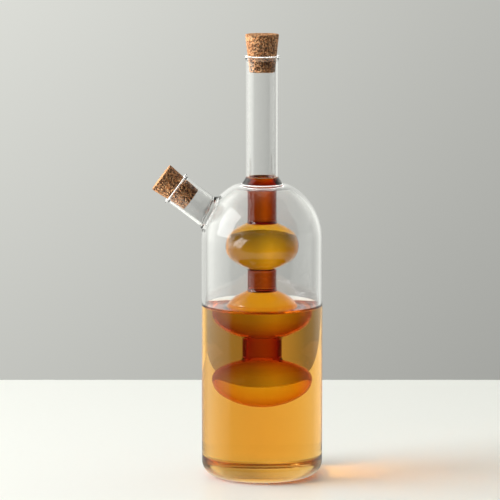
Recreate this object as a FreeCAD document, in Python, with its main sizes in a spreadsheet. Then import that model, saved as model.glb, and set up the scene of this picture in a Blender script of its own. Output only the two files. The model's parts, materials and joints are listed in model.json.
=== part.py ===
import FreeCAD, Part
import math
import os
import Sketcher

# Two-in-one glass cruet. A clear bottle with a slanted pouring spout holds oil. An amber vessel of three
# bulbs hangs inside it from a ring seal, holds vinegar and is filled through the neck. A tapered cork
# closes each mouth. The origin is the middle of the base, +Z is up and the spout points along -X.

doc = FreeCAD.newDocument("cruet")
sheet = doc.addObject("Spreadsheet::Sheet", "Sizes")


class Size:
    """A length known as a number and as the sheet expression that gives it."""

    def __init__(self, number, text):
        self.number = number
        self.text = text

    def __add__(self, other):
        return Size(self.number + number_of(other), f"({self.text} + {text_of(other)})")

    def __sub__(self, other):
        return Size(self.number - number_of(other), f"({self.text} - {text_of(other)})")

    def __mul__(self, other):
        return Size(self.number * number_of(other), f"({self.text} * {text_of(other)})")

    def __truediv__(self, other):
        return Size(self.number / number_of(other), f"({self.text} / {text_of(other)})")

    def root(self):
        return Size(math.sqrt(self.number), f"sqrt({self.text})")


def number_of(value):
    return value.number if isinstance(value, Size) else value


def text_of(value):
    return value.text if isinstance(value, Size) else str(value)


def leg(long_side, side):
    """The other short side of a right-angled triangle."""
    return (long_side * long_side - side * side).root()


row = 0


def cell(alias, content, number):
    """Put one named cell in the sheet."""
    global row
    row += 1
    sheet.set(f"A{row}", alias)
    sheet.set(f"B{row}", content)
    sheet.setAlias(f"B{row}", alias)
    return Size(number, f"Sizes.{alias}")


def size(alias, number):
    """A driving dimension, in millimetres or degrees."""
    return cell(alias, str(number), number)


def worked_out(alias, value):
    """A dimension that follows from others."""
    return cell(alias, "=" + value.text, value.number)


# Clear bottle
body_dia = size("body_dia", 75.0)
body_wall = size("body_wall", 2.2)
base_thickness = size("base_thickness", 4.0)
base_corner = size("base_corner_radius", 9.0)
shoulder_height = size("shoulder_height", 148.3)
crown_corner = size("crown_corner_radius", 11.8)
crown_margin = size("crown_margin", 0.9)
collar_overlap = size("collar_overlap", 2.0)

# Neck tube and the ring seal that it stands on
neck_dia = size("neck_dia", 20.0)
neck_wall = size("neck_wall", 1.2)
neck_length = size("neck_length", 74.9)
lip_flare = size("lip_flare", 1.0)
lip_flare_length = size("lip_flare_length", 3.7)
collar_dia = size("collar_dia", 25.0)
collar_height = size("collar_height", 4.8)
collar_rim = size("collar_rim", 0.6)

# Amber vessel
vessel_neck_dia = size("vessel_neck_dia", 18.0)
vessel_neck_wall = size("vessel_neck_wall", 2.2)
bulb_dia = size("bulb_dia", 45.6)
bulb_height = size("bulb_height", 30.8)
bulb_edge_radius = size("bulb_edge_radius", 11.5)
bulb_wall = size("bulb_wall", 0.8)
bulb_pitch = size("bulb_pitch", 42.2)
bulb_blend = size("bulb_blend_radius", 2.5)
bulb_drop = size("top_bulb_drop", 38.1)

# Spout, measured along its own axis from where that meets the bottle's axis
spout_dia = size("spout_dia", 19.6)
spout_wall = size("spout_wall", 1.4)
spout_rise = size("spout_rise_angle", 37.0)
spout_drop = size("spout_drop", 8.8)
spout_projection = size("spout_projection", 29.7)
spout_lip_flare = size("spout_lip_flare", 1.2)
spout_lip_flare_length = size("spout_lip_flare_length", 3.0)
weld_radius = size("weld_radius", 2.5)

# Corks
cork_clearance = size("cork_clearance", 0.1)
cork_edge = size("cork_edge_radius", 0.6)
neck_cork_top_dia = size("neck_cork_top_dia", 20.8)
neck_cork_tip_dia = size("neck_cork_tip_dia", 16.1)
neck_cork_length = size("neck_cork_length", 23.5)
spout_cork_top_dia = size("spout_cork_top_dia", 19.0)
spout_cork_tip_dia = size("spout_cork_tip_dia", 15.0)
spout_cork_length = size("spout_cork_length", 23.4)

# Liquids
oil_level = size("oil_level", 108.0)
vinegar_ullage = size("vinegar_ullage", 1.7)

# Values that several pieces share
body_r = worked_out("body_outer_r", body_dia / 2)
cavity_r = worked_out("body_inner_r", body_r - body_wall)
neck_r = worked_out("neck_outer_r", neck_dia / 2)
neck_bore_r = worked_out("neck_bore_r", neck_r - neck_wall)
spout_r = worked_out("spout_outer_r", spout_dia / 2)
spout_bore_r = worked_out("spout_bore_r", spout_r - spout_wall)
spout_reach = worked_out("spout_reach", body_r + spout_projection)
spout_root_height = worked_out("spout_root_height", shoulder_height - spout_drop)
collar_r = worked_out("collar_outer_r", collar_dia / 2)
crown_flat_r = worked_out("crown_flat_r", collar_r + crown_margin)
crown_rise = worked_out("crown_rise", leg(body_r - crown_corner, crown_flat_r))
crown_height = worked_out("crown_height", shoulder_height + crown_rise + crown_corner)
collar_top = worked_out("collar_top", crown_height + collar_height)
lip_height = worked_out("lip_height", collar_top + neck_length)
vessel_neck_r = worked_out("vessel_neck_outer_r", vessel_neck_dia / 2)
vessel_bore_r = worked_out("vessel_bore_r", vessel_neck_r - vessel_neck_wall)
top_bulb_height = worked_out("top_bulb_height", crown_height - bulb_drop)
overrun = neck_wall
BULBS = 3
ZERO = 0.0
LEFT = 1
RIGHT = -1


def xz_plane(body):
    return next(item for item in body.Origin.OriginFeatures if item.Role == "XZ_Plane")


def arc_between(start, end, radius, turn):
    """The short arc from start to end that turns left or right on its way."""
    across = end - start
    middle = (start + end) * 0.5
    height = math.sqrt(max(radius * radius - across.Length ** 2 / 4, 0.0))
    left = FreeCAD.Vector(-across.y, across.x, 0).normalize()
    centre = middle + left * height * turn
    circle = Part.Circle(centre, FreeCAD.Vector(0, 0, 1), radius)
    ends = (start, end) if turn == LEFT else (end, start)
    angles = [math.atan2(point.y - centre.y, point.x - centre.x) for point in ends]
    return Part.ArcOfCircle(circle, angles[0], angles[1])


def pin_to_sheet(sketch, geometry, point, value, axis):
    """Hold one coordinate of a sketch point at a sheet value, or on the axis where it is zero."""
    if number_of(value) == 0:
        line = -2 if axis == "DistanceX" else -1
        sketch.addConstraint(Sketcher.Constraint("PointOnObject", geometry, point, line))
        return
    index = sketch.addConstraint(Sketcher.Constraint(axis, -1, 1, geometry, point, value.number))
    sketch.setExpression(f"Constraints[{index}]", value.text)


def outline(body, name, corners):
    """A closed sketch in radius and height. Each corner is (radius, height) and is followed by a straight
    run, or is (radius, height, arc radius, turn) and is followed by an arc."""
    sketch = body.newObject("Sketcher::SketchObject", name)
    sketch.AttachmentSupport = [(xz_plane(body), "")]
    sketch.MapMode = "FlatFace"
    places = [FreeCAD.Vector(number_of(corner[0]), number_of(corner[1]), 0) for corner in corners]
    runs = []
    for index, corner in enumerate(corners):
        start = places[index]
        end = places[(index + 1) % len(corners)]
        first, last = 1, 2
        if len(corner) == 4:
            geometry = sketch.addGeometry(arc_between(start, end, corner[2].number, corner[3]))
            if corner[3] == RIGHT:
                first, last = 2, 1
        else:
            geometry = sketch.addGeometry(Part.LineSegment(start, end))
        runs.append((geometry, first, last))
    for index, corner in enumerate(corners):
        geometry, first, last = runs[index]
        following = runs[(index + 1) % len(runs)]
        sketch.addConstraint(Sketcher.Constraint("Coincident", geometry, last, following[0], following[1]))
        pin_to_sheet(sketch, geometry, first, corner[0], "DistanceX")
        pin_to_sheet(sketch, geometry, first, corner[1], "DistanceY")
        if len(corner) == 4:
            radius = sketch.addConstraint(Sketcher.Constraint("Radius", geometry, corner[2].number))
            sketch.setExpression(f"Constraints[{radius}]", corner[2].text)
    return sketch


def turned(name, corners):
    """A body turned about its own Z axis from an outline."""
    body = doc.addObject("PartDesign::Body", name)
    sketch = outline(body, name + "_outline", corners)
    turn = body.newObject("PartDesign::Revolution", name + "_turn")
    turn.Profile = sketch
    turn.ReferenceAxis = (sketch, ["V_Axis"])
    turn.Angle = 360.0
    return body


def combined(kind, name, base, tool):
    """A boolean of two objects."""
    result = doc.addObject(kind, name)
    result.Base = base
    result.Tool = tool
    return result


def along_spout(body):
    """Stand a turned body on the spout's axis."""
    body.Placement = FreeCAD.Placement(
        FreeCAD.Vector(0, 0, spout_root_height.number),
        FreeCAD.Rotation(FreeCAD.Vector(0, 1, 0), spout_rise.number - 90.0),
    )
    body.setExpression("Placement.Base.z", f"{spout_root_height.text} * 1 mm")
    body.setExpression("Placement.Rotation.Angle", f"({spout_rise.text} - 90) * 1 deg")
    return body


def below_level(name, level, radius):
    """A plain cylinder up to a liquid's surface."""
    block = doc.addObject("Part::Cylinder", name)
    block.setExpression("Radius", radius.text)
    block.setExpression("Height", level.text)
    return block


def dome_end(dome_r, corner_r):
    """Where the dome runs into the rounded edge of the crown."""
    share = dome_r / (dome_r - corner_r)
    return crown_flat_r * share, shoulder_height + crown_rise * share


# The bottle's outside: flat base, rounded corner, straight wall, domed shoulder, flat crown
dome_r, dome_z = dome_end(body_r, crown_corner)
bottle_core = turned("bottle_core", [
    (ZERO, ZERO),
    (body_r - base_corner, ZERO, base_corner, LEFT),
    (body_r, base_corner),
    (body_r, shoulder_height, body_r, LEFT),
    (dome_r, dome_z, crown_corner, LEFT),
    (crown_flat_r, crown_height),
    (ZERO, crown_height),
])

# The bottle's inside, with the hole in the crown where the ring seal sits
cavity_corner = base_corner - body_wall
cavity_crown_corner = crown_corner - body_wall
cavity_dome_r, cavity_dome_z = dome_end(cavity_r, cavity_crown_corner)
crown_hole_r = collar_r - collar_overlap
cavity_top = crown_height - body_wall
bottle_cavity = turned("bottle_cavity", [
    (ZERO, base_thickness),
    (cavity_r - cavity_corner, base_thickness, cavity_corner, LEFT),
    (cavity_r, base_thickness + cavity_corner),
    (cavity_r, shoulder_height, cavity_r, LEFT),
    (cavity_dome_r, cavity_dome_z, cavity_crown_corner, LEFT),
    (crown_flat_r, cavity_top),
    (crown_hole_r, cavity_top),
    (crown_hole_r, crown_height + overrun),
    (ZERO, crown_height + overrun),
])


def flare_radius(out, length):
    """Radius of the arc that leaves a tube's wall and moves out by one value over a length."""
    return (out * out + length * length) / (out * 2)


def tube_outside(name, start, radius, wall, end, flare, flare_length):
    """A solid tube blank whose end opens into a rounded lip."""
    bead = wall / 2
    bend = flare_radius(flare, flare_length - bead)
    return turned(name, [
        (ZERO, start),
        (radius, start),
        (radius, end - flare_length, bend, RIGHT),
        (radius + flare, end - bead, bead, LEFT),
        (radius + flare - bead, end),
        (ZERO, end),
    ])


def tube_inside(name, start, radius, wall, end, flare, flare_length):
    """The bore of such a tube, with the lip's inner flare."""
    bead = wall / 2
    bend = flare_radius(flare, flare_length - bead)
    return turned(name, [
        (ZERO, start),
        (radius, start),
        (radius, end - flare_length, bend, RIGHT),
        (radius + flare, end - bead, bead, RIGHT),
        (radius + flare + bead, end),
        (radius + flare + bead, end + wall),
        (ZERO, end + wall),
    ])


# Spout: a tube fused on the shoulder with a weld fillet all round, then bored through into the bottle
spout_blank = along_spout(tube_outside(
    "spout_blank", spout_dia, spout_r, spout_wall, spout_reach, spout_lip_flare, spout_lip_flare_length))
spout_bore = along_spout(tube_inside(
    "spout_bore", spout_dia, spout_bore_r, spout_wall, spout_reach, spout_lip_flare, spout_lip_flare_length))
fused_spout = combined("Part::Fuse", "fused_spout", bottle_core, spout_blank)
doc.recompute()


def weld_edge(shape):
    """Name of the edge where the spout's tube meets the dome."""
    for number, edge in enumerate(shape.Edges, 1):
        surfaces = [face.Surface for face in shape.ancestorsOfType(edge, Part.Face)]
        on_dome = any(isinstance(surface, Part.Sphere) for surface in surfaces)
        on_tube = any(
            isinstance(surface, Part.Cylinder) and abs(surface.Radius - spout_r.number) < spout_wall.number
            for surface in surfaces)
        if on_dome and on_tube:
            return f"Edge{number}"
    raise RuntimeError("the spout doesn't meet the dome")


welded = doc.addObject("PartDesign::Body", "welded_spout")
welded.BaseFeature = fused_spout
doc.recompute()
weld = welded.newObject("PartDesign::Fillet", "weld_fillet")
weld.Base = (welded.Group[0], [weld_edge(welded.Group[0].Shape)])
weld.setExpression("Radius", weld_radius.text)
doc.recompute()

spout_skin = combined("Part::Cut", "spout_skin", welded, bottle_core)
pouring_spout = combined("Part::Cut", "pouring_spout", spout_skin, spout_bore)
hollow_bottle = combined("Part::Cut", "hollow_bottle", bottle_core, bottle_cavity)
outer_bottle = combined("Part::Cut", "outer_bottle", hollow_bottle, spout_bore)

# Neck tube, standing on the ring seal
neck_blank = tube_outside(
    "neck_blank", collar_top, neck_r, neck_wall, lip_height, lip_flare, lip_flare_length)
neck_bore = tube_inside(
    "neck_bore", collar_top, neck_bore_r, neck_wall, lip_height, lip_flare, lip_flare_length)
neck_tube = combined("Part::Cut", "neck_tube", neck_blank, neck_bore)

# Amber vessel: each bulb is a flattened round of three arcs, blended into the necks above and below it
edge_middle = bulb_dia / 2 - bulb_edge_radius
half_height = bulb_height / 2
cap_radius = worked_out(
    "bulb_cap_radius",
    (edge_middle * edge_middle + half_height * half_height
     - bulb_edge_radius * bulb_edge_radius)
    / ((half_height - bulb_edge_radius) * 2))
cap_drop = cap_radius - half_height


def bulb_points(prefix, wall, neck_radius):
    """Edge radius, cap radius, and the places above a bulb's middle where its arcs meet."""
    edge = bulb_edge_radius - wall
    cap = cap_radius - wall
    share = cap / (cap - edge)
    edge_r = worked_out(prefix + "_edge_r", edge_middle * share)
    edge_z = worked_out(prefix + "_edge_z", cap_drop * share - cap_drop)
    blend_r = neck_radius + bulb_blend
    blend_z = leg(cap + bulb_blend, blend_r)
    share = cap / (cap + bulb_blend)
    cap_r = worked_out(prefix + "_cap_r", blend_r * share)
    cap_z = worked_out(prefix + "_cap_z", blend_z * share - cap_drop)
    neck_z = worked_out(prefix + "_neck_z", blend_z - cap_drop)
    return edge, cap, (edge_r, edge_z), (cap_r, cap_z), neck_z


def vessel_outline(prefix, wall, neck_radius, top):
    """The vessel's outline from the closed bottom up, for its outside or its inside."""
    edge, cap, at_edge, at_cap, neck_z = bulb_points(prefix, wall, neck_radius)
    lowest = top_bulb_height - bulb_pitch * (BULBS - 1)
    corners = [(ZERO, lowest - half_height + wall, cap, LEFT)]
    for count in range(BULBS):
        middle = lowest + bulb_pitch * count
        if count > 0:
            corners.append((neck_radius, middle - neck_z, bulb_blend, RIGHT))
            corners.append((at_cap[0], middle - at_cap[1], cap, LEFT))
        corners.append((at_edge[0], middle - at_edge[1], edge, LEFT))
        corners.append((at_edge[0], middle + at_edge[1], cap, LEFT))
        corners.append((at_cap[0], middle + at_cap[1], bulb_blend, RIGHT))
        corners.append((neck_radius, middle + neck_z))
    return corners + top


vessel_core = turned("vessel_core", vessel_outline("outside", ZERO, vessel_neck_r, [
    (vessel_neck_r, crown_height),
    (ZERO, crown_height),
]))
vessel_cavity = turned("vessel_cavity", vessel_outline("inside", bulb_wall, vessel_bore_r, [
    (vessel_bore_r, crown_height),
    (neck_bore_r, collar_top),
    (neck_bore_r, collar_top + overrun),
    (ZERO, collar_top + overrun),
]))
inner_vessel = combined("Part::Cut", "inner_vessel", vessel_core, vessel_cavity)

# Ring seal: a cone that sits on the crown, carries the neck tube and holds the vessel's neck
collar_core = turned("collar_core", [
    (ZERO, crown_height),
    (collar_r, crown_height),
    (collar_r, crown_height + collar_rim),
    (neck_r, collar_top),
    (ZERO, collar_top),
])
seal_collar = combined("Part::Cut", "seal_collar", collar_core, vessel_cavity)

# Liquids, level in the chambers that hold them
oil_block = combined("Part::Common", "oil_block", bottle_cavity, below_level("oil_depth", oil_level, body_r))
oil_fill = combined("Part::Cut", "oil_fill", oil_block, vessel_core)
vinegar_fill = combined(
    "Part::Common", "vinegar_fill", vessel_cavity,
    below_level("vinegar_depth", collar_top - vinegar_ullage, body_r))


def cork(name, seat, bore_radius, top_dia, tip_dia, length):
    """A tapered cork that comes to rest where it is as wide as the bore below the lip."""
    top_r = top_dia / 2
    tip_r = tip_dia / 2
    depth = (bore_radius - cork_clearance - tip_r) * length / (top_r - tip_r)
    tip = worked_out(name + "_tip", seat - depth)
    top = tip + length
    return turned(name, [
        (ZERO, tip),
        (tip_r - cork_edge, tip, cork_edge, LEFT),
        (tip_r, tip + cork_edge),
        (top_r, top - cork_edge, cork_edge, LEFT),
        (top_r - cork_edge, top),
        (ZERO, top),
    ])


neck_cork = cork(
    "neck_cork", lip_height - lip_flare_length, neck_bore_r,
    neck_cork_top_dia, neck_cork_tip_dia, neck_cork_length)
spout_cork = along_spout(cork(
    "spout_cork", spout_reach - spout_lip_flare_length, spout_bore_r,
    spout_cork_top_dia, spout_cork_tip_dia, spout_cork_length))

doc.recompute()
pieces = [
    outer_bottle, pouring_spout, neck_tube, seal_collar, inner_vessel,
    neck_cork, spout_cork, oil_fill, vinegar_fill,
]
failed = [item.Label for item in doc.Objects if "Invalid" in item.State or "Error" in item.State]
if failed:
    raise RuntimeError("failed: " + ", ".join(failed))
for piece in pieces:
    if piece.Shape.isNull() or not piece.Shape.isValid() or len(piece.Shape.Solids) != 1:
        raise RuntimeError(piece.Label + " is not one sound solid")

os.makedirs("parts", exist_ok=True)
for piece in pieces:
    piece.Shape.exportStep(os.path.join("parts", piece.Label + ".step"))
    box = piece.Shape.BoundBox
    print(f"{piece.Label}: {piece.Shape.Volume / 1000:.1f} ml, z {box.ZMin:.2f} to {box.ZMax:.2f}")
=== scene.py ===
import json
import math

import bmesh
import bpy
from bpy.props import FloatProperty, FloatVectorProperty, IntProperty, PointerProperty
from mathutils import Matrix, Vector, noise


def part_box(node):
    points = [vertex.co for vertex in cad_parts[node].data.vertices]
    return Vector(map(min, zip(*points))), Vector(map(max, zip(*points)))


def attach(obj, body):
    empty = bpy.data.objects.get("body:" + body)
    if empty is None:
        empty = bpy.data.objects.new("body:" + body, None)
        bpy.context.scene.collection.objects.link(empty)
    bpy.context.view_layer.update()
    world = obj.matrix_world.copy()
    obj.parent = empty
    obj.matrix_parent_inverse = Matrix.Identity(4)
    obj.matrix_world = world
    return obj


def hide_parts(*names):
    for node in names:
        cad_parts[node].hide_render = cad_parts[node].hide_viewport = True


bl_info = {
    "name": "Two-in-one cruet",
    "version": (1, 0, 0),
    "blender": (4, 5, 0),
    "location": "View3D > Sidebar > Cruet",
    "description": "Dresses the frame of an oil and vinegar cruet in blown glass, liquids and cork",
    "category": "Object",
}

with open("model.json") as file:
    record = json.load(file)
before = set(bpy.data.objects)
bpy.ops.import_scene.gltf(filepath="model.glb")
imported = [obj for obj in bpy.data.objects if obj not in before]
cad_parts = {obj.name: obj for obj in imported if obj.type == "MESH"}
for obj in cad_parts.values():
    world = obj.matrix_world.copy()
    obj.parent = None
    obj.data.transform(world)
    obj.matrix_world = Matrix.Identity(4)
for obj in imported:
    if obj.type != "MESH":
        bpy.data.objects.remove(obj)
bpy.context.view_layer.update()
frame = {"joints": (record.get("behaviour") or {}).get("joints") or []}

MM = 0.001
LEFT = 1
RIGHT = -1
BULBS = 3
ARC_STEP = math.radians(4.0)
LEAST_ARC_STEPS = 3
LEAST_CHORD = 0.2 * MM
RUN_STEP = 5.0 * MM
SHARP_ANGLE = math.radians(38.0)
MERGE_DISTANCE = 0.002 * MM
AIR_INDEX = 1.0
WHITE = (1.0, 1.0, 1.0, 1.0)

# Spout: how closely a vertex lies on a dome, how far the cut in a dome passes the weld, and facets
ON_DOME = 0.02 * MM
CUT_MARGIN = 2.4 * MM
WELD_STEPS = 6
BORE_STEPS = 4

# Weld: how full its fillet is, and the waves round its edge as count, start and height against its size
WELD_SWELL = 0.2
WELD_WAVES = ((3, 1.0, 0.18), (7, 0.0, 0.09))

# Liquids: facets across a surface, and how far a face there has to look up
SURFACE_STEPS = 28
FREE_SURFACE = 0.5

# Worked glass: its ripples are long in the direction of drawing, and its haze shows on a part of the smears
DRAW_STRETCH = (1.0, 1.0, 0.12)
HAZE = 0.012
SMEAR_SCALE = 60.0
SMEAR_RANGE = (0.5, 0.75)

# Cork: scales against a granule, the stretch of each pattern that shows, and how strongly it does
CRUMB_SCALE = 2.7
GRAIN_SCALE = 9.0
PALE_RANGE = (0.1, 0.9)
DARK_RANGE = (0.60, 0.95)
DARK_SHARE = 0.6
CRUMB_RANGE = (0.56, 0.70)
CRUMB_SHARE = 0.75
GRAIN_RANGE = (0.5, 0.8)
GRAIN_SHARE = 0.5
GRAIN_DEPTH = 0.2 * MM
GRAIN_STRENGTH = 0.6
MATT_RANGE = (0.3, 0.7)
CORK_ROUGHNESS = (0.5, 0.75)
CORK_SHINE = 0.6

# Cork's skin: seams and pits against a granule, the stride of the lots drawn for pits, and its unevenness
SEAM_WIDTH = 0.16
SEAM_SHADE = 0.77
PIT_EDGE = 0.35
LOT_STRIDE = 13.7
SKIN_SIZE = 0.8 * MM
SKIN_DEPTH = 0.10 * MM

# Table, camera and the bounces that a ray may take
TABLE_SPECKLE = 300.0
TABLE_SHADE = 0.97
SENSOR_WIDTH = 36.0
VIEW_DEPTH = 100.0
MOST_BOUNCES = 32
MIRROR_BOUNCES = 12

# Room: directions between which the wall's brightness changes, and the bounds of its panels
WALL_ACROSS = (-0.13, 0.13)
WALL_LOW = (-0.30, 0.06)
WALL_HIGH = (0.06, 0.80)
FAR_LEFT = (-0.45, -0.12)
FRONT_TO_BACK = (-0.4, 0.3)
OVERHEAD = (0.35, 0.75)
SOFTBOX_FALL = (0.25, 0.55)
SOFTBOX_SIDE = {"X": (-2.0, -0.40), "Y": (-0.42, 0.62), "Z": (-0.17, 0.73)}
PALE_SIDE = {"X": (0.50, 2.0), "Y": (0.0, 0.62), "Z": (-0.30, 0.60)}
PALE_BACK = {"X": (0.40, 2.0), "Y": (0.45, 2.0), "Z": (-0.30, 0.60)}
CEILING = {"Z": (0.60, 2.0)}
FLOOR = {"Z": (-2.0, -0.35)}
PATCH_BLUR = 0.12

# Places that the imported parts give: the highest corner of each, and the lowest of two
BOTTLE_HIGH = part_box("outer_bottle")[1]
NECK_LOW, NECK_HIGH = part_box("neck_tube")
COLLAR_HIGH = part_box("seal_collar")[1]
VESSEL_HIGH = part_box("inner_vessel")[1]
OIL_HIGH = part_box("oil_fill")[1]
VINEGAR_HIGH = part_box("vinegar_fill")[1]
NECK_CORK_LOW, NECK_CORK_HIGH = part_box("neck_cork")
SPOUT_CORK_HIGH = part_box("spout_cork")[1]
SPOUT_AXIS = Vector(next(joint["axis"] for joint in frame["joints"] if joint["child"] == "spout_stopper"))


def length(name, description, millimetres):
    """A size that a user can change."""
    return FloatProperty(
        name=name, description=description, default=millimetres * MM, min=0.0, precision=5, unit="LENGTH")


def number(name, description, value):
    """A plain value that a user can change."""
    return FloatProperty(name=name, description=description, default=value, precision=4)


def colour(name, description, value):
    """A linear colour that a user can change."""
    return FloatVectorProperty(
        name=name, description=description, default=value, subtype="COLOR", min=0.0, max=1.0)


def spot(name, description, metres):
    """A place that a user can change."""
    return FloatVectorProperty(
        name=name, description=description, default=metres, subtype="XYZ", unit="LENGTH")


class ClearGlassSizes(bpy.types.PropertyGroup):
    """Sizes of the clear bottle, its neck tube and its spout."""

    wall: length("Wall", "Thickness of the bottle's wall", 2.2)
    base: length("Base", "Thickness of the bottle's base", 4.0)
    base_corner: length("Base corner", "Radius of the rounded corner at the base", 9.0)
    inner_corner: length("Inner corner", "Radius of the rounded corner inside the base", 10.0)
    foot: length("Foot", "Radius of the hollow under the base", 27.0)
    hollow: length("Hollow", "Rise of the base's underside at its middle", 1.2)
    shoulder: length("Shoulder", "Height where the dome starts", 148.3)
    crown_corner: length("Crown corner", "Radius where the dome turns into the flat crown", 11.8)
    crown_margin: length("Crown margin", "Flat glass outside the ring seal", 0.9)
    seal_overlap: length("Seal overlap", "How far the ring seal reaches over the crown's hole edge", 2.0)
    seal_bead: length("Seal bead", "Radius of the bead of clear glass round the ring seal", 0.45)
    neck_wall: length("Neck wall", "Thickness of the neck tube", 1.2)
    lip_flare: length("Lip flare", "How far the neck's lip opens out", 1.0)
    lip_length: length("Lip length", "Height of the neck's flared end", 3.7)
    spout_radius: length("Spout radius", "Outer radius of the spout", 9.8)
    spout_wall: length("Spout wall", "Thickness of the spout", 1.4)
    spout_root: length("Spout root", "Height where the spout's axis meets the bottle's axis", 139.5)
    spout_reach: length("Spout reach", "Distance from that point to the spout's lip", 67.2)
    spout_flare: length("Spout flare", "How far the spout's lip opens out", 1.2)
    spout_lip_length: length("Spout lip length", "Length of the spout's flared end", 3.0)
    weld: length("Weld", "Size of the weld fillet round the spout", 2.5)
    bore_round: length("Bore round", "Rounding where the spout's bore leaves the dome", 1.2)
    # The rims glow white through an emission that paints a highlight on them.
    rim: length("Rim", "Radius of the bright rim on a lip and round the ring seal", 0.27)
    turns: IntProperty(name="Turn steps", description="Facets round the bottle", default=192, min=24)


class AmberGlassSizes(bpy.types.PropertyGroup):
    """Sizes of the three-bulb vessel and of the ring seal."""

    neck_radius: length("Neck radius", "Outer radius of the amber necks", 9.0)
    neck_wall: length("Neck wall", "Thickness of the amber necks", 2.2)
    bulb_height: length("Bulb height", "Height of one bulb", 30.8)
    bulb_edge: length("Bulb edge", "Radius of a bulb's round edge", 11.5)
    bulb_wall: length("Bulb wall", "Thickness of a bulb", 0.8)
    thin_side: length("Thin side", "How far a bulb's inside is off its middle, which thins one side", 0.2)
    bulb_pitch: length("Bulb pitch", "Distance from one bulb to the next", 42.2)
    bulb_blend: length("Bulb blend", "Fillet between a bulb and a neck", 2.5)
    bulb_drop: length("Bulb drop", "Distance from the crown down to the middle of the top bulb", 38.1)
    seal_rim: length("Seal rim", "Height of the ring seal's straight edge", 0.6)
    seal_fillet: length("Seal fillet", "Fillet under the ring seal", 1.2)
    turns: IntProperty(name="Turn steps", description="Facets round the vessel", default=112, min=24)


class LiquidLook(bpy.types.PropertyGroup):
    """The two liquids."""

    overlap: length("Overlap", "How far a liquid's mesh reaches into the glass that holds it", 0.15)
    oil_climb: length("Oil climb", "How far the oil climbs up the glass", 2.3)
    vinegar_climb: length("Vinegar climb", "How far the vinegar climbs up the glass", 0.75)
    climb_width: length("Climb width", "How wide the climbing edge is", 1.3)
    oil_index: number("Oil index", "Refractive index of the oil", 1.36)
    vinegar_index: number("Vinegar index", "Refractive index of the vinegar", 1.37)
    oil_colour: colour("Oil colour", "What the oil lets through", (0.965, 0.750, 0.180))
    oil_density: number("Oil density", "How strongly the oil takes the rest, per metre", 55.0)
    vinegar_colour: colour("Vinegar colour", "What the vinegar lets through", (0.95, 0.85, 0.40))
    vinegar_density: number("Vinegar density", "How strongly the vinegar takes the rest, per metre", 8.0)


class GlassLook(bpy.types.PropertyGroup):
    """The two glasses."""

    clear_index: number("Clear index", "Refractive index of the clear glass", 1.47)
    amber_index: number("Amber index", "Refractive index of the amber glass", 1.5)
    clear_colour: colour("Clear tint", "What the clear glass lets through", (0.86, 0.92, 0.90))
    clear_density: number("Clear density", "How strongly the clear glass takes the rest, per metre", 4.0)
    clear_ripple: number("Clear ripple", "Scale of the ripples in the clear glass", 90.0)
    clear_ripple_depth: length("Clear ripple depth", "Depth of the ripples in the clear glass", 0.004)
    rim_clearness: number("Rim clearness", "Share of light that passes through the fire-polished rims", 0.6)
    # Colour and strength of the emission that paints the rims' white highlight.
    painted_rim_colour: colour("Painted rim colour", "Colour of the painted highlight that the rims glow with", (1.0, 1.0, 0.97))
    painted_rim_glow: number("Painted rim glow", "Strength of that painted glow", 0.4)
    amber_colour: colour("Amber tint", "What the amber glass lets through", (0.95, 0.80, 0.08))
    amber_density: number("Amber density", "How strongly the amber glass takes the rest, per metre", 2750.0)
    amber_ripple: number("Amber ripple", "Scale of the ripples in the amber glass", 60.0)
    amber_ripple_depth: length("Amber ripple depth", "Depth of the ripples in the amber glass", 0.006)


class CorkLook(bpy.types.PropertyGroup):
    """The tapered corks of pressed granules."""

    neck_tip_radius: length("Neck cork tip", "Radius of the neck cork's lower end", 8.05)
    spout_tip_radius: length("Spout cork tip", "Radius of the spout cork's inner end", 7.5)
    spout_tip: length("Spout cork start", "Place of the spout cork's inner end along the spout's axis", 54.84)
    spout_length: length("Spout cork length", "Length of the spout cork", 23.4)
    edge: length("Edge", "Rounding of the corks' edges", 0.6)
    granule: length("Granule", "Size of one granule", 0.9)
    seam_depth: length("Seam depth", "Depth of the seams between granules", 0.10)
    pit_depth: length("Pit depth", "Depth of the pits", 0.40)
    pit_share: number("Pit share", "Share of the granules that have fallen out", 0.06)
    facet: length("Facet", "Size of the mesh's facets", 0.33)
    pale: colour("Pale", "Palest granules", (0.93, 0.53, 0.25))
    tan: colour("Tan", "Most granules", (0.77, 0.285, 0.082))
    brown: colour("Brown", "Dark granules", (0.34, 0.105, 0.027))
    pit: colour("Pit", "Pits and seams", (0.045, 0.015, 0.005))


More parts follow.
